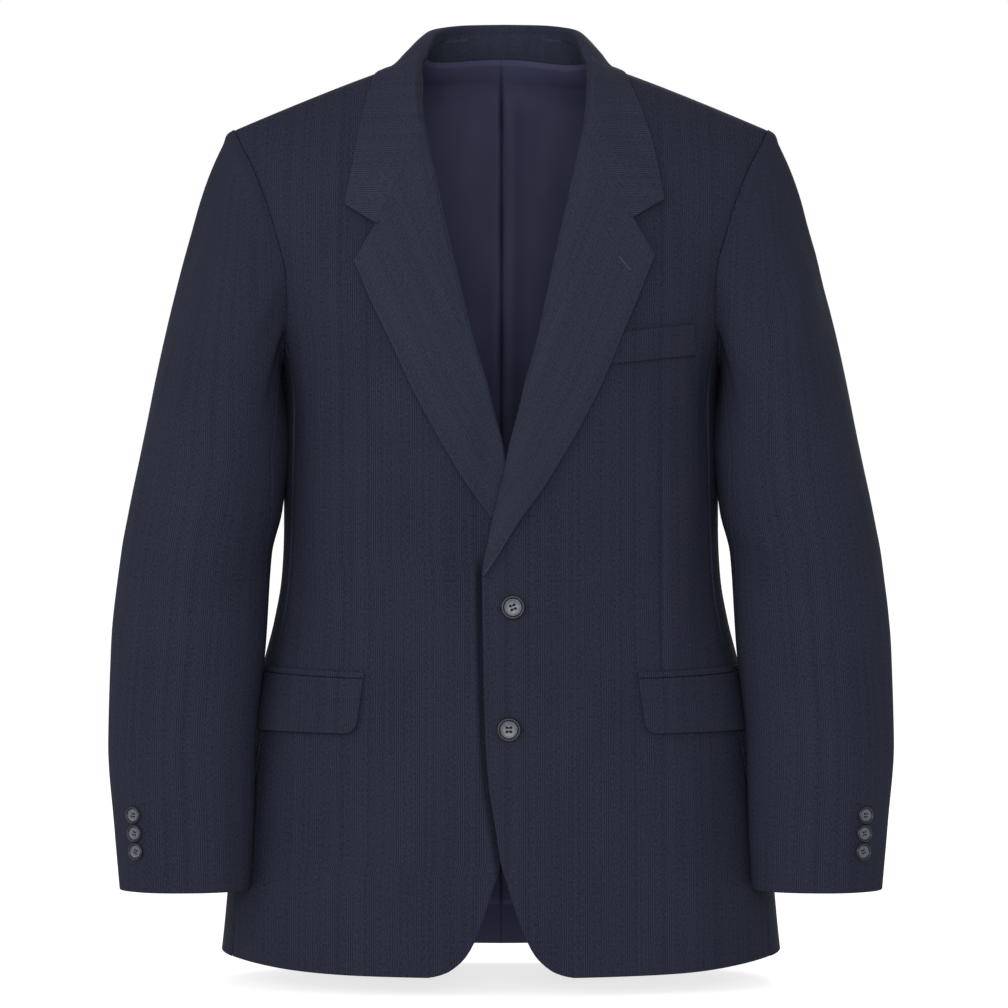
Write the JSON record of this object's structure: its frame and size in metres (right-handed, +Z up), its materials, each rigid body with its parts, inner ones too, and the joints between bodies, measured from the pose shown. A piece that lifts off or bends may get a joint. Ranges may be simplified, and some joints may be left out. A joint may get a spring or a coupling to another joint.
{
  "type": "suit jacket",
  "caption": "Men's single-breasted suit jacket with notch lapels, flap pockets and a breast pocket, filled out as if worn.",
  "frame": {"origin": "level with the points where the shoulder seams meet the neck, midway between them and on the shoulder seams' plane", "axes": "+Z up, -Y out of the jacket's front, +X to the wearer's left"},
  "size_m": [0.6722, 0.242, 0.8239],
  "materials": {
    "suiting": "fine worsted, navy, with close vertical lines",
    "turned_suiting": "the same worsted, cut across its lines on collar and lapels",
    "lining": "smooth dark satin",
    "buttons": "polished, marbled blue and grey"
  },
  "bodies": {
    "root": {"front_left": "suiting", "side_left": "suiting", "back_left": "suiting", "top_sleeve_left": "suiting", "under_sleeve_left": "suiting", "flap_left": "suiting", "flap_jetting_left": "suiting", "lapel_left": "turned_suiting", "back_lining_left": "lining", "cuff_button_left_1": "buttons", "cuff_button_left_2": "buttons", "cuff_button_left_3": "buttons", "front_right": "suiting", "side_right": "suiting", "back_right": "suiting", "top_sleeve_right": "suiting", "under_sleeve_right": "suiting", "flap_right": "suiting", "flap_jetting_right": "suiting", "lapel_right": "turned_suiting", "back_lining_right": "lining", "cuff_button_right_1": "buttons", "cuff_button_right_2": "buttons", "cuff_button_right_3": "buttons", "breast_welt": "suiting", "collar_fall": "turned_suiting", "collar_stand": "turned_suiting", "front_button_1": "buttons", "front_button_2": "buttons"}
  },
  "joints": []
}
